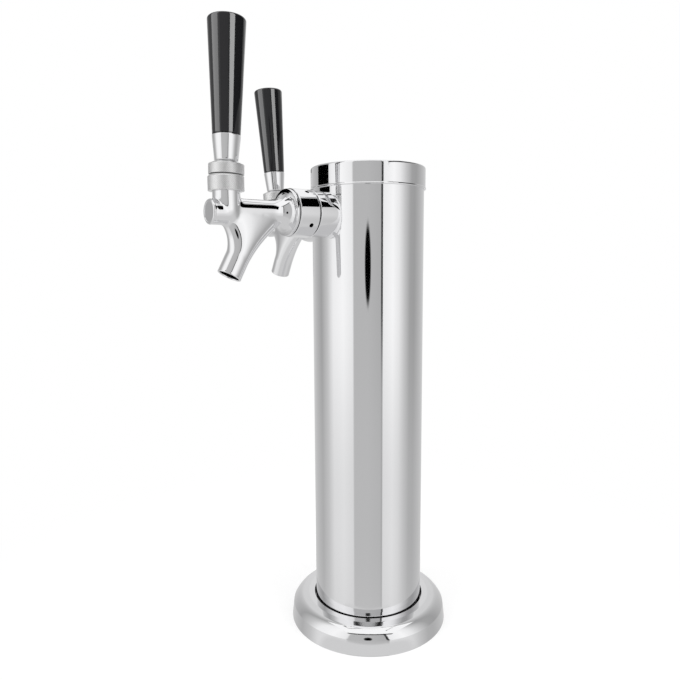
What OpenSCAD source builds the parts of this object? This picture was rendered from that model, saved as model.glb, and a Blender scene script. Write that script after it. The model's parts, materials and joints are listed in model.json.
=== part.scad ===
// Two tap beer tower: a round column on a domed base ring, with two lever faucets near the top.
// The column stands on +Z with its foot at z = 0. The taps face -Y, one to each side of it.

/* [Column] */
// Outside diameter of the column
column_d = 76.2; // [74:0.1:90]
// Wall of the column tube
column_wall = 1.5; // [1:0.1:2]
// Height from the bar top to the top of the cap
tower_h = 319.5; // [280:0.5:450]
// Depth of the tap axes below the top of the cap
tap_drop = 32.2; // [31:0.1:60]
// Angle between the two taps
tap_spread = 86.5; // [84:0.5:110]

/* [Cap] */
// Height of the cap
cap_h = 14.6; // [8:0.1:15]
// Wall of the cap's skirt
cap_wall = 0.9; // [0.6:0.1:1.5]
// Thickness of the cap's top
cap_top = 1.4; // [1:0.1:2]
// Radius of the cap's top edge
cap_edge_r = 1.3; // [0.8:0.1:3]
// Width that the cap's lower lip is turned out
cap_lip = 0.4; // [0.2:0.1:0.8]
// Thickness of the gasket ring on the column's rim
cap_gasket_t = 1; // [0.5:0.1:2]

/* [Base] */
// Width of the base cover beyond the column
base_w = 17.6; // [15:0.1:28]
// Height of the base cover where it meets the column
base_h = 17; // [15:0.1:25]
// Height of the base cover's upright skirt
base_skirt_h = 1.2; // [1:0.1:4]
// Wall of the base cover
cover_wall = 1.2; // [0.8:0.1:1.6]
// Gap around the column in the base cover
cover_gap = 0.4; // [0.3:0.1:1]
// Thickness of the mounting flange
flange_t = 3; // [2:0.1:4]
// Wall of the socket that holds the column
socket_wall = 2.4; // [1.5:0.1:2.8]
// Height of the socket that holds the column
socket_h = 7.5; // [4:0.1:8]
// Thickness of the gasket under the flange
gasket_t = 1.5; // [1:0.1:2]
// Distance of the mounting bolts from the column
bolt_out = 7.9; // [7:0.1:9]
// Diameter of the mounting holes
bolt_d = 6; // [4:0.1:6.5]
// Number of the mounting holes
bolt_count = 4; // [3:1:8]
// Reach of the flange in under the column's wall
flange_lip = 6.6; // [4:0.1:10]
// Wall of the foam sleeve
foam_t = 12.3; // [8:0.1:14]

/* [Shank] */
// Outside diameter of the shank's thread
shank_d = 19.2; // [17:0.1:20]
// Bore of the shank
shank_bore_d = 7; // [5:0.1:9]
// Diameter of the adapter between the column and the nut
adapter_d = 29.4; // [27:0.1:30]
// Length of the adapter beyond the column
adapter_l = 11.6; // [9:0.1:20]
// Outside diameter of the coupling nut
nut_d = 30; // [28:0.1:32]
// Length of the coupling nut
nut_l = 14.5; // [14:0.1:18]
// Diameter of the coupling thread
coupling_d = 24.6; // [23:0.1:25.5]
// Thickness of the shank's collar
shank_collar_t = 2.1; // [1.5:0.1:3]
// Thickness of the coupling washer
coupling_washer_t = 1.3; // [0.8:0.1:2]
// Diameter of the spanner holes in the coupling nut
spanner_d = 2.5; // [1.5:0.1:3.5]
// Width across the flats of the lock nut
lock_af = 25; // [23:0.1:26]
// Thickness of the lock nut
lock_t = 5.5; // [4:0.1:6]
// Width across the flats of the tailpiece nut
tail_af = 21.6; // [21.4:0.1:22.4]
// Outside diameter of the tailpiece's elbow
elbow_d = 10; // [9:0.1:11]
// Outside diameter of the tailpiece's nipple
nipple_d = 8; // [6:0.1:9]
// Bore of the tailpiece
tail_bore_d = 5; // [4:0.1:5.5]
// Drop of the nipple's end below the tap axis
nipple_drop = 30; // [20:0.1:40]

/* [Faucet] */
// Diameter of the faucet's flared rim
rim_d = 29; // [27:0.1:31]
// Width of the flared rim
rim_w = 2.2; // [1.5:0.1:3]
// Length of the flare down to the barrel
flare_l = 11; // [9:0.1:14]
// Diameter of the barrel
barrel_d = 13.6; // [13:0.1:15]
// Distance from the rim to the lever's axis
lever_reach = 42; // [40:0.1:46]
// Distance from the lever's axis to the nose
nose_reach = 11.6; // [10.5:0.1:14]
// Diameter of the nose
nose_d = 14.7; // [13:0.1:15.6]
// Drop of the nose's middle below the tap axis
nose_drop = 1.8; // [0:0.1:2.2]
// Diameter of the neck
neck_d = 16.2; // [15.8:0.1:17]
// Height of the neck above the tap axis
neck_h = 14.5; // [13.5:0.1:15]
// Drop of the spout's mouth below the tap axis
spout_drop = 38.7; // [34:0.1:44]
// Reach of the spout's mouth behind the lever's axis
spout_back = 0.3; // [-1:0.1:2]
// Lean of the spout from upright
spout_lean = 28; // [25:1:32]
// Outside diameter of the spout
spout_d = 14.8; // [14:0.1:16]
// Bore of the spout
spout_bore_d = 12.3; // [11:0.1:13]
// Length of the spout's full bore
spout_bore_l = 22; // [16:0.1:24]

/* [Valve] */
// Diameter of the shaft
shaft_d = 6; // [5.6:0.1:6.4]
// Diameter of the shaft's thin part, where the beer flows
shaft_thin_d = 4; // [3:0.1:4.6]
// Diameter of the flow chamber
chamber_d = 9.8; // [9.6:0.1:10.4]
// Opening of the valve seat
seat_d = 8; // [7.4:0.1:8.6]
// Diameter of the seat washer
seat_washer_d = 10.6; // [10.2:0.1:11.4]
// Thickness of the seat washer
seat_washer_t = 3; // [2:0.1:3.4]
// Thickness of the shaft's end flange
end_flange_t = 1.6; // [1:0.1:2]
// Wire of the shaft's o-ring
ring_wire_d = 1.2; // [0.8:0.1:1.4]

/* [Lever] */
// Height of the lever's pivot above the tap axis
pivot_h = 9.5; // [9.3:0.1:9.8]
// Diameter of the lever's ball
ball_d = 10; // [9.8:0.1:10.4]
// Diameter of the lever's stem
stem_d = 5.6; // [4.6:0.1:5.7]
// Diameter of the lever's finger
finger_d = 2.6; // [2:0.1:2.8]
// Diameter of the finger's tip
tip_d = 3.4; // [3:0.1:3.6]
// Diameter of the lever's stud
stud_d = 9.4; // [8:0.1:10]
// Length of the stud above the collar
stud_l = 18; // [12:0.1:24]
// Diameter of the bonnet
bonnet_d = 21; // [20.4:0.1:22]
// Height of the bonnet's foot above the tap axis
bonnet_z = 10.2; // [9.5:0.1:10.8]
// Diameter of the lever collar
collar_d = 20.6; // [20.4:0.1:21]
// Height of the collar's foot above the tap axis
collar_z = 19.6; // [19.4:0.1:20.2]
// Height of the collar
collar_h = 7; // [6.5:0.1:10]
// Lean of the lever with the tap closed, forward counts up
closed_lean = -2; // [-4:0.5:0]
// Lean of the lever with the tap open
open_lean = 25; // [15:1:25]
// Lean of the right lever as it stands
right_lean = -2; // [-2:0.5:20]
// Lean of the left lever as it stands
left_lean = 3; // [-2:0.5:20]
// Turn of the left faucet about the tap axis, as its nut was tightened
left_turn = -2; // [-8:0.5:8]

/* [Handle] */
// Length of the ferrule
ferrule_l = 14.8; // [10:0.1:20]
// Diameter of the ferrule's foot
ferrule_d1 = 13.5; // [12:0.1:15]
// Diameter of the ferrule's top
ferrule_d2 = 16.6; // [15:0.1:18]
// Length of the grip
grip_l = 64.9; // [50:0.1:100]
// Diameter of the grip's foot
grip_d1 = 16.2; // [15:0.1:18]
// Diameter of the grip's top
grip_d2 = 22.1; // [20:0.1:26]
// Radius of the grip's top edge
grip_edge_r = 2.8; // [2:0.1:6]

/* [Hidden] */
$fn = 64;

// Fits: a thread or push fit, a running shaft, a moving piece's air, and the overrun of every cut
fit = 0.05;
run = 0.04;
air = 0.3;
over = 1;
// Gap that shows as a thin dark line on each side of the coupling nut
nut_gap = 0.4;
// Small chamfer of the turned pieces
edge = 0.5;
// Straight pieces that make a quarter turn of a rounded edge
turns = 6;

right = 1;
left = -1;

column_r = column_d / 2;
column_ir = column_r - column_wall;
tap_z = tower_h - tap_drop;
foot_z = gasket_t + flange_t;
rim_z = tower_h - cap_top - cap_gasket_t;
base_r = column_r + base_w;
bolt_pcd = 2 * (column_r + bolt_out);
passage_d = 2 * (column_ir - flange_lip);
foam_bore_d = 2 * (column_ir - air - foam_t);
flange_r = base_r - cover_wall - air - edge;
cover_ir = column_r + cover_gap;

// Stations along a tap, measured from the column's axis
x_adapter = column_r + adapter_l;
x_nut = x_adapter + nut_gap;
x_rim = x_nut + nut_l + nut_gap;
x_lever = x_rim + lever_reach;
x_nose = x_lever + nose_reach;
x_mouth = x_lever - spout_back;
// Stack inside the coupling nut: its shoulder, the shank's collar, the washer and the faucet's end
shoulder_t = 3.3;
x_collar = x_nut + shoulder_t + fit;
x_washer = x_collar + shank_collar_t + fit;
x_back = x_washer + coupling_washer_t + fit;
// Stack inside the column: the saddle, the lock nut, the tailpiece nut and the elbow. The tailpiece
// nut reaches in to a share of the column's inner radius, so that the two taps' nuts stay apart.
saddle_t = 5.1;
saddle_d = 28;
x_saddle = column_ir - saddle_t;
x_lock = x_saddle - fit - lock_t;
tail_share = 0.455;
tail_shoulder_t = 1.5;
tail_flange_t = 1;
x_tail = tail_share * column_ir;
tail_nut_l = x_lock - air - x_tail;
x_tail_flange = x_tail + tail_shoulder_t + fit;
x_shank = x_tail_flange + tail_flange_t + fit;
x_elbow = x_tail - air - elbow_d / 2;

// Valve stations
seat_t = 2.2;
x_seat = x_back + seat_washer_t + end_flange_t + pivot_h * (sin(open_lean) - sin(closed_lean)) + air;
chamber_end = 14.5;
x_chamber = x_lever - chamber_end;
slot_half = tip_d / 2 + air;
finger_back = pivot_h * sin(open_lean) + tip_d / 2 + air;
slot_w = tip_d + 2 * air;
bearing_l = 3.6;
nose_bore = 7.8;
ring_back = 8.4;
thick_back = 15;
thread_d = 15.9;

// Spheres about the lever's pivot: the collar's hollow and the bonnet's dome inside it
skirt = 0.6;
collar_foot = collar_z - pivot_h;
hollow_r = norm([collar_d / 2 - skirt, collar_foot]);
dome_r = hollow_r - air;
mouth_r = 8.6;
washer_r = 6;
boss_z = 2.35;
collar_top_z = collar_z + collar_h;
ferrule_z = collar_top_z + air - pivot_h;
grip_z = ferrule_z + ferrule_l;

function dir(a) = [cos(a), sin(a)];
function bez(p, t) = pow(1 - t, 3) * p[0] + 3 * t * pow(1 - t, 2) * p[1]
    + 3 * t * t * (1 - t) * p[2] + t * t * t * p[3];
function arc(c, r, a0, a1, n) = [for (i = [0:n]) c + r * dir(a0 + (a1 - a0) * i / n)];
function lean(s) = s == right ? right_lean : left_lean;
function turn(s) = s == right ? 0 : left_turn;
function shift(s) = pivot_h * (sin(closed_lean) - sin(lean(s)));

// Places a tap: its own +X points out of the column and its own z = 0 is the tap axis
module tap(s) translate([0, 0, tap_z]) rotate([0, 0, s * tap_spread / 2 - 90]) children();

// Places a piece of a faucet, which may stand turned about the tap axis
module faucet(s) tap(s) rotate([turn(s), 0, 0]) children();

// Turns an outline of [station, radius] points about the tap axis
module turned(pts) rotate([0, 90, 0]) rotate_extrude() polygon([for (p = pts) [p[1], p[0]]]);

// Rod along the tap axis between two stations
module rod(x0, x1, d) translate([x0, 0, 0]) rotate([0, 90, 0]) cylinder(h = x1 - x0, d = d);

// Places a piece of the lever, with the pivot at its origin
module on_lever(s) faucet(s) translate([x_lever, 0, pivot_h]) rotate([0, lean(s), 0]) children();

module column_tube() color("gainsboro") difference() {
    translate([0, 0, foot_z]) cylinder(h = rim_z - foot_z, d = column_d, $fn = 96);
    translate([0, 0, foot_z - over]) cylinder(h = rim_z - foot_z + 2 * over, r = column_ir, $fn = 96);
    for (s = [left, right]) tap(s) rod(column_ir / 2, column_d, shank_d + 2 * fit);
}

module bolt_holes(z0, z1) for (i = [0:bolt_count - 1])
    rotate([0, 0, 360 * (i + 0.5) / bolt_count]) translate([bolt_pcd / 2, 0, z0 - over])
        cylinder(h = z1 - z0 + 2 * over, d = bolt_d);

module base_flange() color("silver") difference() {
    union() {
        translate([0, 0, gasket_t]) cylinder(h = flange_t, r = flange_r);
        translate([0, 0, gasket_t]) cylinder(h = flange_t + socket_h, r = column_r + fit + socket_wall);
    }
    translate([0, 0, foot_z]) cylinder(h = socket_h + over, r = column_r + fit);
    translate([0, 0, -over]) cylinder(h = foot_z + 2 * over, d = passage_d);
    bolt_holes(gasket_t, foot_z);
}

module base_gasket() color("dimgray") difference() {
    cylinder(h = gasket_t, r = flange_r);
    translate([0, 0, -over]) cylinder(h = gasket_t + 2 * over, d = passage_d);
    bolt_holes(0, gasket_t);
}

// Outline of the dome: upright at the skirt, with a full shoulder and a nearly level top
dome_shares = [[0.96, 0.5], [0.9, 1]];
function dome(r, h, n) = let (w = r - cover_ir, t = h - base_skirt_h)
    [for (i = [0:n]) bez([[r, base_skirt_h], [cover_ir + dome_shares[0][0] * w,
        base_skirt_h + dome_shares[0][1] * t], [cover_ir + dome_shares[1][0] * w, h], [cover_ir, h]], i / n)];

module base_cover() color("gainsboro") difference() {
    rotate_extrude($fn = 96) polygon(concat([[cover_ir, 0], [base_r, 0]], dome(base_r, base_h, 2 * turns)));
    rotate_extrude($fn = 96) polygon(concat([[0, -over], [base_r - cover_wall, -over]],
        dome(base_r - cover_wall, base_h - cover_wall, 2 * turns), [[0, base_h - cover_wall]]));
}

module top_cap() color("gainsboro") {
    r = column_r + fit + cap_wall;
    z0 = tower_h - cap_h;
    difference() {
        rotate_extrude($fn = 96) polygon(concat([[0, z0], [r + cap_lip, z0], [r + cap_lip, z0 + cap_lip],
            [r, z0 + 3 * cap_lip]],
            arc([r - cap_edge_r, tower_h - cap_edge_r], cap_edge_r, 0, 90, turns), [[0, tower_h]]));
        translate([0, 0, z0 - over]) cylinder(h = cap_h - cap_top + over, r = column_r + fit, $fn = 96);
    }
}

module cap_gasket() color("dimgray") translate([0, 0, rim_z]) difference() {
    cylinder(h = cap_gasket_t, r = column_r - fit, $fn = 96);
    translate([0, 0, -over]) cylinder(h = cap_gasket_t + 2 * over, r = column_ir, $fn = 96);
}

module foam_sleeve() color("khaki") translate([0, 0, foot_z]) difference() {
    h = tap_z - nipple_drop + nipple_d / 2 - foot_z;
    cylinder(h = h, r = column_ir - air);
    translate([0, 0, -over]) cylinder(h = h + 2 * over, d = foam_bore_d);
}

module adapter(s) color("gainsboro") tap(s) difference() {
    turned([[0, 0], [0, adapter_d / 2], [x_adapter - edge, adapter_d / 2],
        [x_adapter, adapter_d / 2 - edge], [x_adapter, 0]]);
    cylinder(h = 2 * adapter_d, r = column_r + fit, center = true, $fn = 96);
    rod(-over, x_adapter + over, shank_d + 2 * fit);
}

module inner_saddle(s) color("silver") tap(s) difference() {
    intersection() {
        rod(x_saddle, column_r, saddle_d);
        cylinder(h = 2 * saddle_d, r = column_ir - fit, center = true, $fn = 96);
    }
    rod(x_saddle - over, column_r + over, shank_d + 2 * fit);
}

module shank(s) color("silver") tap(s) difference() {
    turned([[x_shank, 0], [x_shank, shank_d / 2 - edge], [x_shank + edge, shank_d / 2],
        [x_collar, shank_d / 2], [x_collar, coupling_d / 2 - edge],
        [x_collar + shank_collar_t, coupling_d / 2 - edge], [x_collar + shank_collar_t, 0]]);
    rod(x_shank - over, x_washer + over, shank_bore_d);
}

module hex(x0, l, af) translate([x0, 0, 0]) rotate([0, 90, 0])
    cylinder(h = l, d = af / cos(30), $fn = 6);

module lock_nut(s) color("goldenrod") tap(s) difference() {
    hex(x_lock, lock_t, lock_af);
    rod(x_lock - over, x_saddle + over, shank_d + 2 * fit);
}

module coupling_nut(s) color("gainsboro") tap(s) difference() {
    turned([[x_nut, 0], [x_nut, nut_d / 2 - edge], [x_nut + edge, nut_d / 2],
        [x_nut + nut_l - edge, nut_d / 2], [x_nut + nut_l, nut_d / 2 - edge], [x_nut + nut_l, 0]]);
    rod(x_nut - over, x_nut + nut_l + over, shank_d + 2 * fit);
    rod(x_nut + shoulder_t, x_nut + nut_l + over, coupling_d + 2 * fit);
    for (i = [0:3]) rotate([-25 - 90 * i, 0, 0]) translate([x_nut + nut_l / 2, 0, 0])
        rotate([-90, 0, 0]) translate([0, 0, coupling_d / 2 + edge]) cylinder(h = nut_d, d = spanner_d);
}

module coupling_washer(s) color("dimgray") tap(s) difference() {
    rod(x_washer, x_washer + coupling_washer_t, coupling_d - 2 * edge);
    rod(x_washer - over, x_back + over, seat_washer_d + 2 * air);
}

module tailpiece_nut(s) color("goldenrod") tap(s) difference() {
    hex(x_tail, tail_nut_l, tail_af);
    rod(x_tail - over, x_tail + tail_nut_l + over, elbow_d + 2 * fit);
    rod(x_tail + tail_shoulder_t, x_tail + tail_nut_l + over, shank_d + 2 * fit);
}

module tailpiece(s) color("silver") tap(s) difference() {
    union() {
        rod(x_tail_flange, x_tail_flange + tail_flange_t, shank_d - 2 * edge);
        rod(x_elbow, x_shank - fit, elbow_d);
        translate([x_elbow, 0, 0]) sphere(d = elbow_d);
        translate([x_elbow, 0, -elbow_d]) cylinder(h = elbow_d, d = elbow_d);
        translate([x_elbow, 0, -nipple_drop]) cylinder(h = nipple_drop, d = nipple_d);
    }
    rod(x_elbow, x_shank + over, tail_bore_d);
    translate([x_elbow, 0, 0]) sphere(d = tail_bore_d);
    translate([x_elbow, 0, -nipple_drop - over]) cylinder(h = nipple_drop + over, d = tail_bore_d);
}

// The spout's own frame: its origin in the mouth and its +Z up the bore
module spout_frame() translate([x_mouth, 0, -spout_drop]) rotate([0, -spout_lean, 0]) children();

// Side outlines of the casting between the barrel and the spout, as shares of the lever's reach
// and of the spout's drop, from the rim's station on the tap axis
back_shares = [[0.07, -0.02], [0.297, -0.257], [0.568, -0.562]];
front_shares = [[1.04, -0.212], [0.849, -0.5]];
loft_in = 0.06;
loft_rings = 14;
loft_sides = 32;

function share_at(q) = [x_rim + q[0] * lever_reach, q[1] * spout_drop];
function spout_at(up, side) = [x_mouth, -spout_drop] + up * [-sin(spout_lean), cos(spout_lean)]
    + side * [cos(spout_lean), sin(spout_lean)];

// Skin lofted between the back outline and the front outline, as ellipses that close on the spout
module casting() {
    r = spout_d / 2 - loft_in;
    back = concat([for (q = back_shares) share_at(q)], [spout_at(barrel_d / 6, -r)]);
    front = concat([[x_nose - edge * 3, back[0][1]]], [for (q = front_shares) share_at(q)],
        [spout_at(barrel_d / 6, r)]);
    half = barrel_d / 2 - 2 * loft_in;
    pts = [for (i = [0:loft_rings]) let (t = i / loft_rings, b = bez(back, t), f = bez(front, t),
        c = (b + f) / 2, h = (f - b) / 2, w = half + (r - half) * t)
        for (k = [0:loft_sides - 1]) let (a = 360 * k / loft_sides)
            [c[0] + h[0] * cos(a), w * sin(a), c[1] + h[1] * cos(a)]];
    n = loft_sides;
    polyhedron(pts, concat([[for (k = [0:n - 1]) n - 1 - k]], [[for (k = [0:n - 1]) loft_rings * n + k]],
        [for (i = [0:loft_rings - 1]) for (k = [0:n - 1]) let (m = (k + 1) % n)
            [i * n + k, (i + 1) * n + m, (i + 1) * n + k]],
        [for (i = [0:loft_rings - 1]) for (k = [0:n - 1]) let (m = (k + 1) % n)
            [i * n + k, i * n + m, (i + 1) * n + m]]));
}

// Quarter ellipse from the rim down to the barrel
function flare() = [for (i = [0:2 * turns]) let (a = 90 * i / (2 * turns))
    [x_rim + rim_w + flare_l * (1 - cos(a)), rim_d / 2 - (rim_d - barrel_d) / 2 * sin(a)]];

module faucet_body(s) color("gainsboro") faucet(s) difference() {
    union() {
        turned(concat([[x_back, 0], [x_back, coupling_d / 2 - edge], [x_back + edge, coupling_d / 2],
            [x_rim, coupling_d / 2], [x_rim, rim_d / 2 - edge], [x_rim + edge, rim_d / 2]], flare(),
            [[x_lever, barrel_d / 2], [x_lever, 0]]));
        translate([0, 0, -nose_drop]) turned(concat([[x_lever - neck_d / 2, 0],
            [x_lever - neck_d / 2, nose_d / 2 - 2 * nose_drop]], [[x_lever - neck_d / 4, nose_d / 2]],
            arc([x_nose - 2 * edge, nose_d / 2 - 2 * edge], 2 * edge, 90, 0, turns), [[x_nose, 0]]));
        translate([x_lever, 0, 0]) rotate_extrude() polygon(concat([[0, neck_h]],
            [[neck_d / 2 - edge, neck_h], [neck_d / 2, neck_h - edge]],
            arc([0, 0], neck_d / 2, 0, -90, 2 * turns)));
        casting();
        spout_frame() cylinder(h = spout_d, d = spout_d);
    }
    // Recess of the seat washer, the seat, the flow chamber and the shaft's two guides
    rod(x_back - over, x_seat, seat_washer_d + 2 * air);
    rod(x_back, x_chamber, seat_d);
    rod(x_seat + seat_t, x_chamber, chamber_d);
    rod(x_chamber - over, x_lever + nose_bore, shaft_d + 2 * run);
    // Spout bore, wide in the mouth and narrow up to the flow chamber
    spout_frame() translate([0, 0, -over]) cylinder(h = spout_bore_l + over, d = spout_bore_d);
    spout_frame() cylinder(h = spout_drop / cos(spout_lean), d = chamber_d - 4 * edge);
    // Lever's socket in the neck, and the slot that the finger swings in
    translate([x_lever, 0, neck_h - over]) cylinder(h = 2 * over, r = washer_r + fit);
    translate([x_lever, 0, pivot_h - ball_washer_foot]) cylinder(h = neck_h, r = washer_r + fit);
    translate([x_lever, 0, pivot_h - ball_d / 2 - air]) cylinder(h = ball_d / 2, d = ball_open_d);
    translate([x_lever, slot_w / 2, 0]) rotate([90, 0, 0]) linear_extrude(slot_w) polygon([
        [slot_half + edge, -tip_d / 2 - air], [slot_half + edge, pivot_h - edge],
        [-slot_half - edge, pivot_h - edge], [-finger_back, tip_d / 2], [-finger_back, -tip_d / 2 - air]]);
}

// The shaft is drawn closed and stands back with its lever
module on_shaft(s) faucet(s) translate([shift(s), 0, 0]) children();

module faucet_shaft(s) color("silver") on_shaft(s) difference() {
    x0 = x_seat - fit - seat_washer_t - end_flange_t;
    x_ring = x_lever - ring_back;
    x_slot = x_lever - pivot_h * sin(closed_lean);
    x1 = x_slot + slot_half + bearing_l;
    groove = ring_wire_d / 2;
    turned([[x0, 0], [x0, seat_d / 2], [x0 + end_flange_t, seat_d / 2], [x0 + end_flange_t, shaft_thin_d / 2],
        [x_lever - thick_back - edge, shaft_thin_d / 2], [x_lever - thick_back, shaft_d / 2],
        [x_ring - groove, shaft_d / 2], [x_ring - groove, shaft_d / 2 - ring_wire_d],
        [x_ring + groove, shaft_d / 2 - ring_wire_d], [x_ring + groove, shaft_d / 2],
        [x1 - edge, shaft_d / 2], [x1, shaft_d / 2 - edge], [x1, 0]]);
    translate([x_slot, slot_w / 2, 0]) rotate([90, 0, 0]) linear_extrude(slot_w) polygon([
        [-slot_half, -shaft_d], [slot_half, -shaft_d], [slot_half, 0],
        [slot_half + shaft_d * tan(open_lean), shaft_d], [-slot_half, shaft_d]]);
}

module seat_washer(s) color("dimgray") on_shaft(s) difference() {
    rod(x_seat - fit - seat_washer_t, x_seat - fit, seat_washer_d);
    rod(x_back - over, x_seat + over, shaft_thin_d + 2 * fit);
}

module shaft_ring(s) color("dimgray") on_shaft(s) translate([x_lever - ring_back, 0, 0])
    rotate([0, 90, 0]) rotate_extrude() translate([shaft_d / 2 + run / 2 - ring_wire_d / 2, 0])
        circle(d = ring_wire_d, $fn = 24);

ball_washer_foot = 4.5;
ball_washer_top = 1.5;
// Opening under the ball, in its washer and in the neck's floor
ball_open_d = ball_d * sin(51);
friction_z = 0.8;

module ball_washer(s) color("whitesmoke") faucet(s) translate([x_lever, 0, pivot_h]) difference() {
    translate([0, 0, -ball_washer_foot]) cylinder(h = ball_washer_foot - ball_washer_top, r = washer_r);
    sphere(d = ball_d + 2 * fit);
    translate([0, 0, -ball_washer_foot - over]) cylinder(h = ball_washer_foot, d = ball_open_d);
}

module friction_washer(s) color("whitesmoke") faucet(s) translate([x_lever, 0, pivot_h]) difference() {
    translate([0, 0, friction_z]) cylinder(h = boss_z - fit - friction_z, r = washer_r);
    sphere(d = ball_d + 2 * fit);
}

// Points of the bonnet's dome, from its outer edge in to the lever's opening
dome_a0 = acos(bonnet_d / 2 / dome_r);
dome_a1 = acos(mouth_r / dome_r);

module bonnet(s) color("silver") faucet(s) translate([x_lever, 0, pivot_h])
    rotate_extrude() polygon(concat([
        [neck_d / 2 + fit, bonnet_z - pivot_h], [bonnet_d / 2 - edge, bonnet_z - pivot_h],
        [bonnet_d / 2, bonnet_z - pivot_h + edge]],
        arc([0, 0], dome_r, dome_a0, dome_a1, turns),
        [[ball_d * 0.455, boss_z], [washer_r, boss_z], [washer_r, neck_h - pivot_h + fit],
        [neck_d / 2 + fit, neck_h - pivot_h + fit]]));

module lever(s) color("silver") on_lever(s) union() {
    translate([0, 0, -pivot_h]) sphere(d = tip_d);
    translate([0, 0, -pivot_h]) cylinder(h = pivot_h, d = finger_d);
    sphere(d = ball_d);
    cylinder(h = hollow_r + edge, d = stem_d);
    translate([0, 0, hollow_r]) cylinder(h = collar_top_z - pivot_h - hollow_r + stud_l, d = stud_d);
}

module lever_collar(s) color("silver") on_lever(s) difference() {
    h = collar_foot + collar_h;
    rotate_extrude() polygon([[0, collar_foot], [collar_d / 2, collar_foot],
        [collar_d / 2, h - 3 * edge], [collar_d / 2 - edge, h - 2 * edge],
        [ferrule_d1 / 2 + edge, h], [0, h]]);
    sphere(r = hollow_r);
    cylinder(h = h + over, d = stud_d + 2 * fit);
}

module ferrule(s) color("gainsboro") on_lever(s) difference() {
    translate([0, 0, ferrule_z]) rotate_extrude() polygon([[0, 0], [ferrule_d1 / 2 - edge, 0],
        [ferrule_d1 / 2, edge], [ferrule_d2 / 2, ferrule_l - edge], [ferrule_d2 / 2 - edge, ferrule_l],
        [0, ferrule_l]]);
    translate([0, 0, ferrule_z - over]) cylinder(h = ferrule_l + 2 * over, d = stud_d + 2 * fit);
}

// Turn of the grip's top edge, which stops short of level so that the top is a low dome
grip_crown = 72;

module grip(s) color("black") on_lever(s) difference() {
    translate([0, 0, grip_z + fit]) rotate_extrude() polygon(concat([[0, 0], [grip_d1 / 2, 0]],
        arc([grip_d2 / 2 - grip_edge_r, grip_l - grip_edge_r], grip_edge_r, 0, grip_crown, turns),
        [[0, grip_l]]));
    translate([0, 0, grip_z - over]) cylinder(h = stud_top() - grip_z + air + over, d = stud_d + 2 * fit);
}

function stud_top() = collar_top_z - pivot_h + stud_l;

column_tube();
base_flange();
base_gasket();
base_cover();
top_cap();
cap_gasket();
foam_sleeve();
adapter(right);  // right_adapter
inner_saddle(right);  // right_inner_saddle
shank(right);  // right_shank
lock_nut(right);  // right_lock_nut
coupling_nut(right);  // right_coupling_nut
coupling_washer(right);  // right_coupling_washer
tailpiece(right);  // right_tailpiece
tailpiece_nut(right);  // right_tailpiece_nut
faucet_body(right);  // right_faucet_body
faucet_shaft(right);  // right_faucet_shaft
seat_washer(right);  // right_seat_washer
shaft_ring(right);  // right_shaft_ring
ball_washer(right);  // right_ball_washer
friction_washer(right);  // right_friction_washer
bonnet(right);  // right_bonnet
lever(right);  // right_lever
lever_collar(right);  // right_lever_collar
ferrule(right);  // right_ferrule
grip(right);  // right_grip
adapter(left);  // left_adapter
inner_saddle(left);  // left_inner_saddle
shank(left);  // left_shank
lock_nut(left);  // left_lock_nut
coupling_nut(left);  // left_coupling_nut
coupling_washer(left);  // left_coupling_washer
tailpiece(left);  // left_tailpiece
tailpiece_nut(left);  // left_tailpiece_nut
faucet_body(left);  // left_faucet_body
faucet_shaft(left);  // left_faucet_shaft
seat_washer(left);  // left_seat_washer
shaft_ring(left);  // left_shaft_ring
ball_washer(left);  // left_ball_washer
friction_washer(left);  // left_friction_washer
bonnet(left);  // left_bonnet
lever(left);  // left_lever
lever_collar(left);  // left_lever_collar
ferrule(left);  // left_ferrule
grip(left);  // left_grip
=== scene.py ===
import json
import math

import bmesh
import bpy
from mathutils import Matrix, Vector

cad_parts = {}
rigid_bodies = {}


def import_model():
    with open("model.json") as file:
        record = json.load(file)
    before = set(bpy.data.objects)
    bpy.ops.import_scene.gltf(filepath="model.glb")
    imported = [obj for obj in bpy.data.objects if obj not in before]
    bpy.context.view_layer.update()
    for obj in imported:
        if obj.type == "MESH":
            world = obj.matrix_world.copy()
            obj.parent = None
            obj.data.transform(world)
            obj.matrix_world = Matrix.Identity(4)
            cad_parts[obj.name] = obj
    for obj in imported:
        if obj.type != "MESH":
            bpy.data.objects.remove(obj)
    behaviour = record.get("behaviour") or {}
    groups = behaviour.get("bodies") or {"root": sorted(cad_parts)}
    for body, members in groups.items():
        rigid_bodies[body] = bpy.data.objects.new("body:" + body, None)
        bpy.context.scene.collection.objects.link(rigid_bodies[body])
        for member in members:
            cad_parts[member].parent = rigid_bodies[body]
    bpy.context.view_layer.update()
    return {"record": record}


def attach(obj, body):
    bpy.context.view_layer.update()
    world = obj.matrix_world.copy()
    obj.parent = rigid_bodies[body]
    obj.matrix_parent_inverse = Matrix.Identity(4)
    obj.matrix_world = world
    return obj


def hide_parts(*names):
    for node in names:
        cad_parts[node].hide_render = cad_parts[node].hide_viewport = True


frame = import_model()

# ---- Camera -----------------------------------------------------------------
# The tower is seen from its right-hand side, a little above the taps, with the near tap reaching
# out to the left of the picture. Sensor and lens give the frame of a square photograph, and the
# last turn is a slight roll.
camera = bpy.data.objects.new("photo_camera", bpy.data.cameras.new("photo_camera"))
camera.data.sensor_width = 36
camera.data.lens = 32.3
camera.data.clip_start = 0.01
camera.matrix_world = (
    Matrix.Translation((0.42615, 0.0242, 0.25502))
    @ Matrix.Rotation(math.radians(95.886), 4, "Z")
    @ Matrix.Rotation(math.radians(82.953), 4, "X")
    @ Matrix.Rotation(-0.006, 4, "Z")
)
bpy.context.scene.collection.objects.link(camera)
bpy.context.scene.camera = camera
bpy.context.scene.view_settings.view_transform = "Standard"


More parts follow.
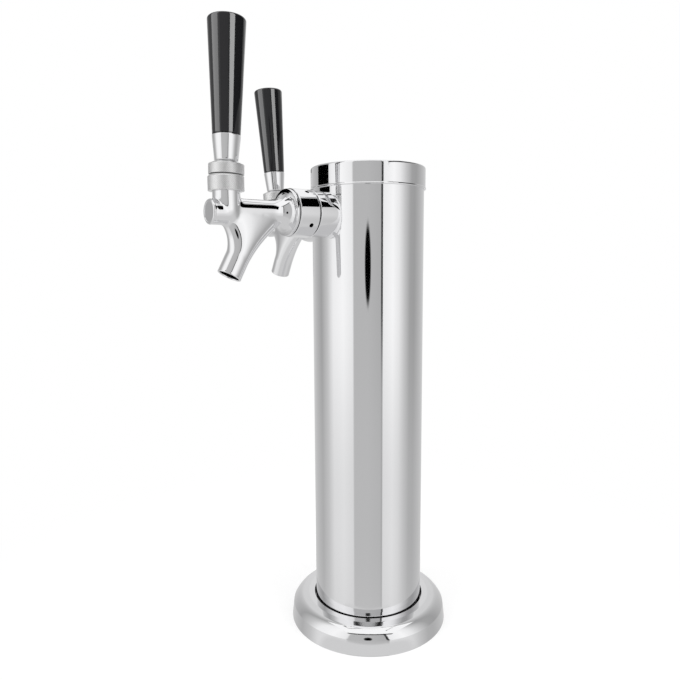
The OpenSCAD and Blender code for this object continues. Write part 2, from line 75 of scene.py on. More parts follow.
# ---- Light tent -------------------------------------------------------------
# Polished steel shows the room it stands in: a light tent with pale side walls, a grey front panel
# with a seam at its right edge, and a flat white roof. Only reflections see it. The camera sees
# white, and matt surfaces get plain even light.
class Signal:
    """One value in a node tree. Sums, products and quotients of signals add Math nodes."""

    def __init__(self, graph, socket):
        self.graph, self.socket = graph, socket

    def __add__(self, other):
        return self.graph.math("ADD", self, other)

    def __sub__(self, other):
        return self.graph.math("SUBTRACT", self, other)

    def __rsub__(self, other):
        return self.graph.math("SUBTRACT", other, self)

    def __mul__(self, other):
        return self.graph.math("MULTIPLY", self, other)

    def __truediv__(self, other):
        return self.graph.math("DIVIDE", self, other)

    def __rtruediv__(self, other):
        return self.graph.math("DIVIDE", other, self)

    __radd__ = __add__
    __rmul__ = __mul__


class Graph:
    """A node tree that is emptied and then grown node by node."""

    def __init__(self, tree):
        self.tree = tree
        tree.nodes.clear()

    def add(self, kind, settings, inputs, *out):
        """Adds a node of this kind. Its settings are set first, then the values or links. A ramp's
        stops are pairs of a place and a grey. Gives the outputs that are named, or else the
        first."""
        node = self.tree.nodes.new("ShaderNode" + kind)
        for name, value in settings.items():
            if name == "stops":
                ramp = node.color_ramp
                while len(ramp.elements) < len(value):
                    ramp.elements.new(1)
                for element, (place, grey) in zip(ramp.elements, value):
                    element.position = place
                    element.color = (grey, grey, grey, 1)
            else:
                setattr(node, name, value)
        for name, value in inputs.items():
            if isinstance(value, Signal):
                self.tree.links.new(value.socket, node.inputs[name])
            else:
                node.inputs[name].default_value = value
        named = out or range(min(1, len(node.outputs)))
        signals = [Signal(self, node.outputs[name]) for name in named]
        return signals[0] if len(signals) == 1 else signals

    def math(self, operation, a, b=0.0):
        return self.add("Math", {"operation": operation}, {0: a, 1: b})

    def ease(self, value, low, high, at_low=0.0, at_high=1.0):
        """Runs smoothly from at_low to at_high while value goes from low to high."""
        return self.add(
            "MapRange",
            {"interpolation_type": "SMOOTHSTEP"},
            {
                "Value": value,
                "From Min": low,
                "From Max": high,
                "To Min": at_low,
                "To Max": at_high,
            },
        )


world = bpy.data.worlds.new("light_tent")
world.use_nodes = True
bpy.context.scene.world = world
tent = Graph(world.node_tree)
east, north, up = tent.add("SeparateXYZ", {}, {0: tent.add("TexCoord", {}, {})}, 0, 1, 2)
# Share of a turn round the tent, with the middle of the front panel at one half, and height from
# minus one straight down to one straight up
panel_turn = math.radians(3.25)
compass = tent.math("ARCTAN2", north, east) / math.tau
round_share = tent.math("FRACT", compass + (1.5 - panel_turn / math.tau))
height = tent.math("ARCSINE", up) / (math.pi / 2)


def at(degrees):
    """Share of a turn at this angle from the middle of the front panel."""
    return 0.5 + degrees / 360


# Brightness round the tent: the back, the left wall, the panel and its seam, the right wall, and
# the back again
walls = tent.add(
    "ValToRGB",
    {
        "stops": [
            (at(-180), 0.80),
            (at(-139), 0.55),
            (at(-112), 0.39),
            (at(-92), 0.62),
            (at(-76), 0.97),
            (at(-52), 1.05),
            (at(-31), 0.92),
            (at(-28.5), 0.52),
            (at(0), 0.52),
            (at(26.6), 0.47),
            (at(27.2), 0.34),
            (at(30.2), 0.34),
            (at(30.8), 0.95),
            (at(52), 1.06),
            (at(66), 0.92),
            (at(80), 0.64),
            (at(96), 0.40),
            (at(110), 0.38),
            (at(133), 0.52),
            (at(160), 0.66),
            (at(180), 0.80),
        ]
    },
    {"Fac": round_share},
)


def band(value, low, high, soft):
    """One between two bounds and none outside them."""
    return tent.ease(value, low - soft, low) * tent.ease(value, high + soft, high)


# The panel's seam is black above eye level and fades out below it. Further down, the walls' light
# and dark even out, and then give way to the table.
panel_seam = band(round_share, at(26.9), at(30.3), 0.001) * tent.ease(height, -0.14, -0.02)
evened = tent.ease(height, -0.25, -0.03, 0.45, 0)
wall_mean, table_tone, panel_seam_depth = 0.57, 0.64, 0.9
shaded = (walls * (1 - evened) + wall_mean * evened) * (1 - panel_seam_depth * panel_seam)
over_table = tent.ease(height, -0.5, -0.26)
sides = shaded * over_table + table_tone * (1 - over_table)

# The roof is one flat lamp. Directions are measured on it as steps ahead and beside the tower,
# for each step up. A dark seam runs along its front edge.
rise = tent.math("MAXIMUM", up, 0.05)
ahead = (east * math.cos(panel_turn) + north * math.sin(panel_turn)) / rise
beside = (north * math.cos(panel_turn) - east * math.sin(panel_turn)) / rise
across_roof = band(beside, -0.55, 0.7, 0.02) * tent.ease(up, 0.2, 0.25)
roof = band(ahead, -0.25, 0.73, 0.01) * across_roof
roof_seam = band(ahead, 0.74, 0.86, 0.005) * across_roof
roof_tone, room_tone, roof_seam_depth = 1.05, 0.72, 0.97
studio = (sides * (1 - roof) + roof_tone * roof) * (1 - roof_seam_depth * roof_seam)
seen, mirrored = tent.add("LightPath", {}, {}, "Is Camera Ray", "Is Glossy Ray")
light = seen + (1 - seen) * (mirrored * studio + (1 - mirrored) * room_tone)
sky = tent.add("Background", {}, {"Color": light, "Strength": 1.0})
tent.add("OutputWorld", {}, {"Surface": sky})

# Three softboxes aimed at the middle of the tower light what isn't a mirror
tower_middle = Vector((0, 0, 0.16))
for name, place, size, watts in (
    ("left_softbox", (0.9, -1.1, 0.9), 0.9, 9.0),
    ("right_softbox", (0.9, 1.2, 0.8), 0.9, 7.0),
    ("top_softbox", (0.0, 0.1, 1.5), 1.2, 9.0),
):
    lamp = bpy.data.objects.new(name, bpy.data.lights.new(name, "AREA"))
    lamp.data.shape = "SQUARE"
    lamp.data.size = size
    lamp.data.energy = watts
    aim = (tower_middle - Vector(place)).to_track_quat("-Z", "Y")
    lamp.matrix_world = Matrix.Translation(place) @ aim.to_matrix().to_4x4()
    lamp.visible_glossy = False
    bpy.context.scene.collection.objects.link(lamp)

# ---- Cards ------------------------------------------------------------------
# Boards held close to the tower, seen only by its polished parts: a black one leaning above its
# back, a black one before the cap, a white one above its left side, the camera's dark front, and a
# pale one on the bar beside the foot ring.

# Each card has a place, a turn, a tip to the side, how upright it stands, its width, height and
# glow, and how far out it starts to fade. Its edges are 1 out and its corners 1.42, so a card that
# starts at 1.5 is sharp all round.
sharp = 1.5
for name, place, turn, tip, stand, width, tall, glow, fade_from in (
    ("rear_card", (0.04, 0.163, 0.475), 0, 12, 74, 0.29, 0.215, 0, sharp),
    ("front_card", (0.0205, -0.1, 0.3235), 0, 0, 90, 0.05, 0.043, 0, sharp),
    ("top_card", (-0.14, -0.02, 0.45), 0, 0, 0, 0.28, 0.16, 1, sharp),
    ("camera_front", (0.42615, 0.0242, 0.2545), 93.25, 0, 90, 0.1, 0.12, 0, 0.7),
    ("foot_card", (0.058, 0.0015, 0.0005), 3.25, 0, 0, 0.04, 0.1, 0.69, 0.75),
):
    bpy.ops.object.select_all(action="DESELECT")
    bpy.ops.mesh.primitive_plane_add(size=2)
    card = bpy.context.active_object
    card.name = name
    card.matrix_world = (
        Matrix.Translation(place)
        @ Matrix.Rotation(math.radians(turn), 4, "Z")
        @ Matrix.Rotation(math.radians(tip), 4, "Y")
        @ Matrix.Rotation(math.radians(stand), 4, "X")
        @ Matrix.Diagonal((width / 2, tall / 2, 1, 1))
    )
    card.visible_camera = card.visible_diffuse = card.visible_shadow = False
    card_board = bpy.data.materials.new(name)
    card_board.use_nodes = True
    board = Graph(card_board.node_tree)
    spot = board.add("TexCoord", {}, {}, "Object")
    out_from_middle = board.add("VectorMath", {"operation": "LENGTH"}, {0: spot}, "Value")
    faded = board.ease(out_from_middle, fade_from, max(fade_from + 0.01, 1.0))
    tone = board.add("Emission", {}, {"Color": (glow, glow, glow, 1)})
    clear = board.add("BsdfTransparent", {}, {})
    face = board.add("MixShader", {}, {"Fac": faded, 1: tone, 2: clear})
    board.add("OutputMaterial", {}, {"Surface": face})
    card.data.materials.append(card_board)


# ---- Floor ------------------------------------------------------------------
# The sweep of white paper under the tower. It glows a little, so that it meets the white wall
# without a horizon, and it still takes the tower's soft shadow.
bpy.ops.object.select_all(action="DESELECT")
bpy.ops.mesh.primitive_plane_add(size=8, location=(0, 0, 0))
floor = bpy.context.active_object
floor.name = "paper_sweep"
floor.visible_glossy = False
paper = bpy.data.materials.new("white_paper")
paper.use_nodes = True
sheet = Graph(paper.node_tree)
matt = sheet.add("BsdfDiffuse", {}, {"Color": (0.93, 0.93, 0.93, 1)})
white = sheet.add("Emission", {}, {"Color": (1, 1, 1, 1), "Strength": 1.0})
spot = sheet.add("TexCoord", {}, {}, "Object")
away = sheet.add("VectorMath", {"operation": "LENGTH"}, {0: spot}, "Value")
share = sheet.ease(away, 0.08, 0.35, 0.55, 1.0)
glowing = sheet.add("MixShader", {}, {"Fac": share, 1: matt, 2: white})
sheet.add("OutputMaterial", {}, {"Surface": glowing})
floor.data.materials.append(paper)


# ---- Column -----------------------------------------------------------------
# A length of 3 in stainless tube, polished to a mirror round its outside and plain inside. The two
# shanks pass through holes near its top, and its foot stands in the flange's socket.
def eased(outline, closed):
    """Points of an outline: corners with a third number are rounded to that radius, and each
    long stretch gets a close ring near both ends, which keeps its shading true."""
    arc_step, ring_gap, long_stretch = math.radians(11), 0.0003, 0.0008
    n = len(outline)
    soft = []
    for i, (r, z, *radius) in enumerate(outline):
        here = Vector((r, z))
        if radius and (closed or 0 < i < n - 1):
            back = (Vector(outline[i - 1][:2]) - here).normalized()
            on = (Vector(outline[(i + 1) % n][:2]) - here).normalized()
            half = back.angle(on) / 2
            reach = radius[0] / math.tan(half)
            centre = here + (back + on).normalized() * radius[0] / math.sin(half)
            start, end = here + back * reach - centre, here + on * reach - centre
            turn = start.angle_signed(end)
            steps = max(3, round(abs(turn) / arc_step))
            for k in range(steps + 1):
                spoke = start.copy()
                spoke.rotate(Matrix.Rotation(-turn * k / steps, 2))
                soft.append(centre + spoke)
        else:
            soft.append(here)
    if closed:
        soft.append(soft[0])
    points = [soft[0]]
    for a, b in zip(soft, soft[1:]):
        length = (b - a).length
        near = min(ring_gap, length / 5)
        if length > long_stretch:
            points += [a.lerp(b, near / length), a.lerp(b, 1 - near / length)]
        points.append(b)
    return points


def turned(name, outline, sides, closed=False):
    """Lathe work about +Z. A closed outline is a ring, and an open one starts and ends on the axis
    or with a hollow end."""
    points = eased(outline, closed)
    capped = points[0].x == 0, points[-1].x == 0
    if capped[0]:
        points = points[1:]
    if capped[1]:
        points = points[:-1]
    bpy.ops.object.select_all(action="DESELECT")
    start = points[0]
    bpy.ops.mesh.primitive_circle_add(vertices=sides, radius=start.x, location=(0, 0, start.y))
    piece = bpy.context.active_object
    piece.name = name
    bpy.ops.object.mode_set(mode="EDIT")
    bpy.ops.mesh.select_all(action="SELECT")
    if capped[0]:
        bpy.ops.mesh.edge_face_add()
        bpy.ops.mesh.poke()
        bpy.ops.mesh.select_all(action="DESELECT")
        bpy.ops.mesh.select_non_manifold()
    for a, b in zip(points, points[1:]):
        bpy.ops.mesh.extrude_region_move(TRANSFORM_OT_translate={"value": (0, 0, b.y - a.y)})
        grow = b.x / a.x
        bpy.ops.transform.resize(value=(grow, grow, 1), center_override=(0, 0, b.y))
    if capped[1]:
        bpy.ops.mesh.extrude_region_move(TRANSFORM_OT_translate={"value": (0, 0, 0)})
        bpy.ops.mesh.merge(type="CENTER")
    bpy.ops.mesh.select_all(action="SELECT")
    bpy.ops.mesh.remove_doubles(threshold=1e-7)
    bpy.ops.mesh.normals_make_consistent(inside=False)
    bpy.ops.object.mode_set(mode="OBJECT")
    return placed(piece, piece.matrix_world.copy())


def placed(piece, matrix):
    """Gives a piece its place and works that place into its mesh."""
    bpy.ops.object.select_all(action="DESELECT")
    bpy.context.view_layer.objects.active = piece
    piece.select_set(True)
    piece.matrix_world = matrix
    bpy.ops.object.transform_apply(location=True, rotation=True, scale=True)
    return piece


def bored(piece, tool):
    """Takes a tool's shape out of a piece, as a drill or a mill does."""
    bpy.ops.object.select_all(action="DESELECT")
    bpy.context.view_layer.objects.active = piece
    piece.select_set(True)
    cut = piece.modifiers.new("bored", "BOOLEAN")
    cut.operation, cut.solver, cut.object = "DIFFERENCE", "EXACT", tool
    bpy.ops.object.modifier_apply(modifier=cut.name)
    bpy.data.objects.remove(tool)


def finished(piece, material, body, slot, *nodes, crease=32):
    """Smooths a piece's shading up to its creases, gives it its finish and mounts it."""
    bpy.ops.object.select_all(action="DESELECT")
    bpy.context.view_layer.objects.active = piece
    piece.select_set(True)
    bpy.ops.object.shade_smooth_by_angle(angle=math.radians(crease))
    piece.data.materials.clear()
    piece.data.materials.append(material)
    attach(piece, body)
    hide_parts(*nodes)


def plain_finish(name, color, metallic, roughness):
    """A finish with its graph and its main shader, for wear and marks to be fed into."""
    material = bpy.data.materials.new(name)
    material.use_nodes = True
    graph = Graph(material.node_tree)
    surface = graph.add(
        "BsdfPrincipled",
        {},
        {"Base Color": (*color, 1), "Metallic": metallic, "Roughness": roughness},
    )
    graph.add("OutputMaterial", {}, {"Surface": surface})
    graph.surface = surface.socket.node
    graph.material = material
    return graph


def feed(graph, name, value):
    """Lets a value vary one socket of a finish's main shader."""
    graph.tree.links.new(value.socket, graph.surface.inputs[name])


def local(graph, place=Matrix()):
    """Object coordinates, measured from a piece's own place and turn, in metres."""
    return graph.add(
        "Mapping",
        {"vector_type": "TEXTURE"},
        {
            "Vector": graph.add("TexCoord", {}, {}, "Object"),
            "Location": place.translation,
            "Rotation": place.to_euler(),
        },
    )


def grain(graph, spot, scale, detail, stretch=(1, 1, 1)):
    """Even noise from 0 to 1, with scale in grains a metre and longer along a small stretch."""
    spread = graph.add("VectorMath", {"operation": "MULTIPLY"}, {0: spot, 1: stretch})
    return graph.add("TexNoise", {}, {"Vector": spread, "Scale": scale, "Detail": detail}, "Fac")


def dented(graph, height, depth):
    """Lets a height field, in metres, tilt the surface."""
    sockets = {"Strength": 1.0, "Distance": depth, "Height": height}
    feed(graph, "Normal", graph.add("Bump", {}, sockets, "Normal"))


def mirror_steel(name, polish=0.035):
    """Buffed stainless: a clean mirror with hair-fine buffing lines and faint wipe marks."""
    steel = plain_finish(name, (0.87, 0.87, 0.88), 1.0, polish)
    spot = local(steel)
    lines = grain(steel, spot, 2600, 2, (0.04, 0.04, 1))
    wipes = grain(steel, spot, 45, 4, (1, 1, 0.35))
    feed(steel, "Roughness", polish + 0.03 * steel.ease(wipes, 0.35, 0.75) + 0.012 * lines)
    dented(steel, lines + 0.6 * wipes, 0.0000012)
    return steel.material


column_r, column_wall, foot_z, rim_z = 0.0381, 0.0015, 0.0045, 0.3171
tap_z, tap_half_turn = 0.2873, 43.25
# Each tap's place: +X runs out along its shank from the column's axis. Lathe work lies along it.
taps = {}
for side, turn in (("right", tap_half_turn - 90), ("left", -tap_half_turn - 90)):
    lift = Matrix.Translation((0, 0, tap_z))
    taps[side] = lift @ Matrix.Rotation(math.radians(turn), 4, "Z")
along = Matrix.Rotation(math.radians(90), 4, "Y")
shank_r, hole_half = 0.00965, 0.013

tube_steel = mirror_steel("polished_tube")
column = turned(
    "column",
    [
        (column_r, foot_z, 0.0002),
        (column_r, tap_z - hole_half),
        (column_r, tap_z + hole_half),
        (column_r, rim_z, 0.0003),
        (column_r - column_wall, rim_z, 0.0003),
        (column_r - column_wall, foot_z, 0.0002),
    ],
    sides=256,
    closed=True,
)
reach = 0.06
for tap in taps.values():
    drill = turned("drill", [(0, 0), (shank_r, 0), (shank_r, reach), (0, reach)], sides=64)
    bored(column, placed(drill, tap @ along))
finished(column, tube_steel, "tower", "polished_steel", "column_tube")

# ---- Base ring --------------------------------------------------------------
# A spun stainless cover that hides the mounting flange: a dome with a short upright skirt, bored to
# slide up the column. Its skirt stands on the bar, and its bore clears the column by a millimetre.
ring_r, ring_in, ring_h, sheet_t = 0.0557, 0.0392, 0.017, 0.0012


def curve(p, t):
    """Point on a cubic curve with four control points."""
    s = 1 - t
    return s**3 * p[0] + 3 * s * s * t * p[1] + 3 * s * t * t * p[2] + t**3 * p[3]


def dome(inset):
    """Nearly level beside the column, then bending down to the skirt's edge."""
    steps = 20
    stations = (0.0478, 0.05094, 0.0532, 0.0545)
    heights = (0.0163, 0.01569, 0.01255, 0.0103)
    level = [(ring_in + 0.0043, ring_h - 0.0001 - inset)]
    return level + [
        (curve(stations, k / steps) - inset * k / steps, curve(heights, k / steps) - inset)
        for k in range(steps + 1)
    ]


base_ring = turned(
    "base_ring",
    [(ring_in, ring_h, 0.0003)]
    + dome(0)
    + [(ring_r, 0, 0.0003), (ring_r - sheet_t, 0, 0.0002)]
    + dome(sheet_t)[::-1]
    + [(ring_in, ring_h - sheet_t)],
    sides=224,
    closed=True,
)
ring_steel = mirror_steel("spun_ring", polish=0.045)
finished(base_ring, ring_steel, "base_ring", "polished_steel", "base_cover")


# ---- Flange, gaskets, foam and the taps' inner parts ------------------------
# The mounting flange is a machined plate with a socket for the tube. Under it lies a rubber sheet,
# and rigid foam lines the tube. The taps' shanks, nuts, levers and washers are brass, steel, rubber
# and nylon. All keep their solids' shapes, since they hardly show.
def machined(name, color, roughness):
    """Turned or milled metal with fine tool marks."""
    metal = plain_finish(name, color, 1.0, roughness)
    marks = grain(metal, local(metal), 3000, 2, (1, 1, 0.15))
    feed(metal, "Roughness", roughness - 0.06 + 0.16 * marks)
    dented(metal, marks, 0.000006)
    return metal.material


def soft(name, color, roughness, pitch, depth):
    """Moulded rubber, foam or plastic with an even fine skin."""
    skin = plain_finish(name, color, 0.0, roughness)
    pores = grain(skin, local(skin), pitch, 4)
    deep, pale = ([min(1, share * c) for c in color] for share in (0.8, 1.15))
    tones = {0: skin.ease(pores, 0.3, 0.7), 6: (*deep, 1), 7: (*pale, 1)}
    tone = skin.add("Mix", {"data_type": "RGBA"}, tones, 2)
    feed(skin, "Base Color", tone)
    feed(skin, "Roughness", roughness - 0.08 + 0.16 * pores)
    dented(skin, pores, depth)
    return skin.material


inner_finish = {
    "plain_steel": machined("machined_steel", (0.62, 0.62, 0.63), 0.3),
    "brass": machined("machined_brass", (0.72, 0.56, 0.28), 0.28),
    "gasket_rubber": soft("black_gasket", (0.025, 0.025, 0.026), 0.7, 1500, 0.00003),
    "foam": soft("tan_foam", (0.78, 0.7, 0.5), 0.85, 700, 0.0002),
    "nylon": soft("white_nylon", (0.82, 0.82, 0.79), 0.4, 1200, 0.00001),
}
for part in frame["record"]["subparts"]:
    if part["material_slot"] in inner_finish:
        node = bpy.data.objects[part["node"]]
        node.data.materials.clear()
        node.data.materials.append(inner_finish[part["material_slot"]])

# ---- Cap --------------------------------------------------------------------
# A pressed stainless lid with a flat top, a rounded shoulder and a skirt that grips the tube's rim.
# The skirt's lower edge is turned out a hair, where a thumb lifts it.
cap_r, cap_z, cap_lip, cap_t = 0.03905, 0.3195, 0.0004, 0.0014
cap_foot, cap_bore = cap_z - 0.0146, column_r + 0.00005
cap = turned(
    "cap",
    [
        (0, cap_z),
        (cap_r, cap_z, 0.0013),
        (cap_r, cap_foot + 3 * cap_lip, 0.0006),
        (cap_r + cap_lip, cap_foot + 1.8 * cap_lip, 0.0002),
        (cap_r + cap_lip, cap_foot, 0.00035),
        (cap_bore, cap_foot, 0.0002),
        (cap_bore, cap_z - cap_t, 0.0004),
        (0, cap_z - cap_t),
    ],
    sides=256,
)
finished(cap, mirror_steel("pressed_cap"), "cap", "polished_steel", "top_cap")


# ---- Adapters and coupling nuts ---------------------------------------------
# Each tap stands off the tube on a chromed adapter, whose inner end is cut to the tube's curve. A
# round coupling nut draws the faucet against the shank, and has holes for a pin spanner.
def copied(piece, name, matrix):
    """A like piece with a mesh of its own, set in its place."""
    twin = piece.copy()
    twin.data = piece.data.copy()
    twin.name = name
    bpy.context.scene.collection.objects.link(twin)
    return placed(twin, matrix)


# Bright nickel and chrome over brass, with the faint waviness that buffing leaves
polish = 0.03
plate = plain_finish("chrome_plate", (0.88, 0.88, 0.89), 1.0, polish)
spot = local(plate)
wave = grain(plate, spot, 110, 2)
haze = grain(plate, spot, 700, 4)
feed(plate, "Roughness", polish + 0.03 * plate.ease(haze, 0.45, 0.8))
dented(plate, wave + 0.03 * haze, 0.000012)
chrome = plate.material
# Painted shade for the spanner holes' walls: near-black metal in place of the shade inside them
hole_shade = machined("painted_hole_shade", (0.03, 0.03, 0.03), 0.5)

adapter_r, adapter_x, blank_x = 0.0147, 0.0495, 0.01
nut_r, nut_bore, nut_x, nut_l, nut_web = 0.015, 0.01235, 0.0504, 0.0142, 0.0033
adapter = turned(
    "adapter",
    [
        (shank_r, blank_x),
        (adapter_r, blank_x),
        (adapter_r, adapter_x, 0.0006),
        (shank_r, adapter_x),
    ],
    sides=160,
    closed=True,
)
saddle_r, reach = column_r + 0.00005, 0.03
ends = [(0, -reach), (saddle_r, -reach), (saddle_r, reach), (0, reach)]
mill = turned("mill", ends, sides=256)
bored(adapter, placed(mill, along))
nut = turned(
    "coupling_nut",
    [
        (nut_bore, nut_x + nut_web),
        (shank_r, nut_x + nut_web),
        (shank_r, nut_x),
        (nut_r, nut_x, 0.0006),
        (nut_r, nut_x + nut_l, 0.0006),
        (nut_bore, nut_x + nut_l),
    ],
    sides=160,
    closed=True,
)
hole_r, hole_x, hole_floor, reach, first_hole = 0.00145, nut_x + 0.0055, 0.0128, 0.02, 57
for quarter in range(4):
    ends = [(0, hole_floor), (hole_r, hole_floor), (hole_r, reach), (0, reach)]
    drill = turned("drill", ends, sides=32)
    aim = Matrix.Rotation(math.radians(90 * quarter + first_hole), 4, "Z") @ along
    bored(nut, placed(drill, Matrix.Translation((0, 0, hole_x)) @ aim))
for side, tap in taps.items():
    for model, part in ((adapter, "adapter"), (nut, "coupling_nut")):
        made = copied(model, f"{side}_{part}_piece", tap @ along)
        finished(made, chrome, "tower", "chrome", f"{side}_{part}")
    # The nut, made last, gets painted shade inside its holes: their walls take a near-black finish
    made.data.materials.append(hole_shade)
    for face in made.data.polygons:
        spot = (tap @ along).inverted() @ face.center
        in_wall = hole_floor - 0.0003 < math.hypot(spot.x, spot.y) < nut_r - 0.0001
        face.material_index = int(in_wall and abs(spot.z - hole_x) < hole_r)
for model in (adapter, nut):
    bpy.data.objects.remove(model)

# ---- Faucets ----------------------------------------------------------------
# A chromed brass casting: a rim and a flare at the coupling, a barrel out to the round nose, an
# upright neck for the lever, and a web that sweeps down into the leaning, open spout.
rim_x, rim_w, rim_r = 0.065, 0.0022, 0.0145
flare_l, barrel_r = 0.011, 0.0068
lever_x, nose_x, nose_r, nose_drop = 0.107, 0.1186, 0.00735, 0.0018
neck_r, neck_h = 0.0081, 0.0145
mouth_x, mouth_z, lean = 0.1067, -0.0387, math.radians(28)
spout_r, bore_r, bore_l = 0.0074, 0.00615, 0.022
up_spout = Vector((-math.sin(lean), 0, math.cos(lean)))
across = Vector((math.cos(lean), 0, math.sin(lean)))
mouth = Vector((mouth_x, 0, mouth_z))


def flared(turn):
    """Radius and station of the quarter ellipse from the rim down to the barrel."""
    a = math.radians(turn)
    return rim_r - (rim_r - barrel_r) * math.sin(a), rim_x + rim_w + flare_l * (1 - math.cos(a))


def lofted(name, rings, sides=96):
    """Skin over ellipses that stand on the faucet's middle plane. Each ring is its middle, the
    vector to its front edge, and its half width."""
    bpy.ops.object.select_all(action="DESELECT")
    bpy.ops.mesh.primitive_circle_add(vertices=sides, radius=1, fill_type="NGON")
    piece = bpy.context.active_object
    piece.name = name
    bpy.ops.object.mode_set(mode="EDIT")
    bpy.ops.mesh.select_all(action="SELECT")
    spot, tilt, long, wide = Vector((0, 0, 0)), 0.0, 1.0, 1.0
    for i, (middle, front, half) in enumerate(rings):
        if i:
            bpy.ops.mesh.extrude_region_move(TRANSFORM_OT_translate={"value": (0, 0, 0)})
        bpy.ops.transform.rotate(value=-tilt, orient_axis="Y", center_override=spot)
        bpy.ops.transform.resize(value=(front.length / long, half / wide, 1), center_override=spot)
        tilt = math.atan2(front.z, front.x)
        bpy.ops.transform.rotate(value=tilt, orient_axis="Y", center_override=spot)
        bpy.ops.transform.translate(value=middle - spot)
        spot, long, wide = middle, front.length, half
    bpy.ops.mesh.select_all(action="SELECT")
    bpy.ops.mesh.normals_make_consistent(inside=False)
    bpy.ops.object.mode_set(mode="OBJECT")
    return placed(piece, piece.matrix_world.copy())


def drawn(centre, axis, rings):
    """Carries the selected open edge on through rings of a radius and a station along the axis,
    and closes it on the axis at the end."""
    bpy.ops.mesh.remove_doubles(threshold=0.0001)
    mesh = bpy.context.active_object.data
    shape = bmesh.from_edit_mesh(mesh)
    edge = [v for v in shape.verts if v.select]
    offs = [v.co - centre for v in edge]
    s = sum(off.dot(axis) for off in offs) / len(edge)
    spokes = [off - axis * off.dot(axis) for off in offs]
    r = sum(spoke.length for spoke in spokes) / len(edge)
    for v, spoke in zip(edge, spokes):
        v.co = centre + axis * s + spoke.normalized() * r
    bmesh.update_edit_mesh(mesh)
    for radius, station in rings:
        bpy.ops.mesh.extrude_region_move(TRANSFORM_OT_translate={"value": axis * (station - s)})
        grow = radius / r
        bpy.ops.transform.resize(value=(grow, grow, grow), center_override=centre + axis * station)
        r, s = radius, station
    bpy.ops.mesh.extrude_region_move(TRANSFORM_OT_translate={"value": (0, 0, 0)})
    bpy.ops.mesh.merge(type="CENTER")


def trimmed(centre, normal):
    """Cuts off what lies beyond a plane and leaves the open edge selected."""
    bpy.ops.mesh.select_all(action="SELECT")
    bpy.ops.mesh.bisect(plane_co=centre, plane_no=normal, clear_outer=True)


# The rough casting: lathe work and the lofted web, fused and blended as a foundry's pattern is
barrel = turned(
    "barrel",
    [(0, rim_x + 0.001), (rim_r, rim_x + 0.001), (rim_r, rim_x + rim_w)]
    + [flared(a) for a in range(6, 91, 6)]
    + [(barrel_r, lever_x), (0, lever_x)],
    sides=128,
)
placed(barrel, along)
nose = turned(
    "nose",
    [
        (0, lever_x - 0.006),
        (nose_r - 0.002, lever_x - 0.006),
        (nose_r, lever_x - 0.003),
        (nose_r, nose_x),
        (0, nose_x),
    ],
    sides=128,
)
placed(nose, Matrix.Translation((0, 0, -nose_drop)) @ along)


def rounding(radius, depth, start, angles):
    """Points of a quarter ellipse: at 0 degrees it has its radius at the start's station, and at
    90 it meets the axis, depth further on."""
    spokes = [math.radians(a) for a in angles]
    return [(radius * math.cos(a), start + depth * math.sin(a)) for a in spokes]


neck = turned(
    "neck",
    [(0, neck_h), (neck_r, neck_h)]
    + rounding(neck_r, -neck_r, 0, range(0, 90, 6))
    + [(0, -neck_r)],
    sides=128,
)
placed(neck, Matrix.Translation((lever_x, 0, 0)))
straight, crown = 0.0115, 0.011
spout = turned(
    "spout",
    [(0, -0.002), (spout_r, -0.002), (spout_r, straight)]
    + rounding(spout_r, crown, straight, range(10, 90, 10))
    + [(0, straight + crown)],
    sides=128,
)
placed(spout, Matrix.Translation(mouth) @ Matrix.Rotation(-lean, 4, "Y"))
# The web's back and front rails run from the barrel down to the spout
join = mouth + up_spout * (barrel_r / 3)
back_rail = [
    Vector((0.0679, 0, -0.0045)),
    Vector((0.0755, 0, -0.0115)),
    Vector((0.0905, 0, -0.021)),
    join - across * spout_r,
]
front_rail = [
    Vector((0.1171, 0, -0.0008)),
    Vector((0.1087, 0, -0.0082)),
    Vector((0.1007, 0, -0.0194)),
    join + across * spout_r,
]
web_rings = 28
web = []
for i in range(web_rings + 1):
    t = i / web_rings
    back, front = curve(back_rail, t), curve(front_rail, t)
    web.append(((back + front) / 2, (front - back) / 2, barrel_r + (spout_r - barrel_r) * t))
casting = lofted("faucet", web)
bpy.ops.object.select_all(action="DESELECT")
for piece in (barrel, nose, neck, spout, casting):
    piece.select_set(True)
bpy.context.view_layer.objects.active = casting
bpy.ops.object.join()
fuse = casting.modifiers.new("fuse", "REMESH")
fuse.mode, fuse.voxel_size = "VOXEL", 0.00035
bpy.ops.object.modifier_apply(modifier=fuse.name)
blend = casting.modifiers.new("blend", "SMOOTH")
blend.factor, blend.iterations = 0.5, 90
bpy.ops.object.modifier_apply(modifier=blend.name)

# Machined ends: the rim and tail in the nut, the flat nose with its shallow recess, and the bored
# mouth of the spout
bpy.ops.object.mode_set(mode="EDIT")
out = Vector((1, 0, 0))
tail_r, tail_l, edge = 0.0123, 0.0078, 0.0004
trimmed(Vector((flared(22)[1], 0, 0)), -out)
drawn(
    Vector((0, 0, 0)),
    out,
    [flared(a) for a in (20, 17, 14, 11, 8, 5, 2.5)]
    + [
        (rim_r - edge, rim_x + rim_w),
        (rim_r - 0.3 * edge, rim_x + rim_w - 0.3 * edge),
        (rim_r, rim_x + rim_w - edge),
        (rim_r, rim_x + edge),
        (rim_r - 0.3 * edge, rim_x + 0.3 * edge),
        (rim_r - edge, rim_x),
        (tail_r, rim_x),
        (tail_r, rim_x - tail_l),
        (0.005, rim_x - tail_l),
        (0.0047, rim_x - 0.0002),
    ],
)
nose_edge = 0.0011
trimmed(Vector((nose_x - nose_edge - 0.0005, 0, 0)), out)
nose_round = rounding(nose_edge, nose_edge, nose_x - nose_edge, range(0, 91, 15))
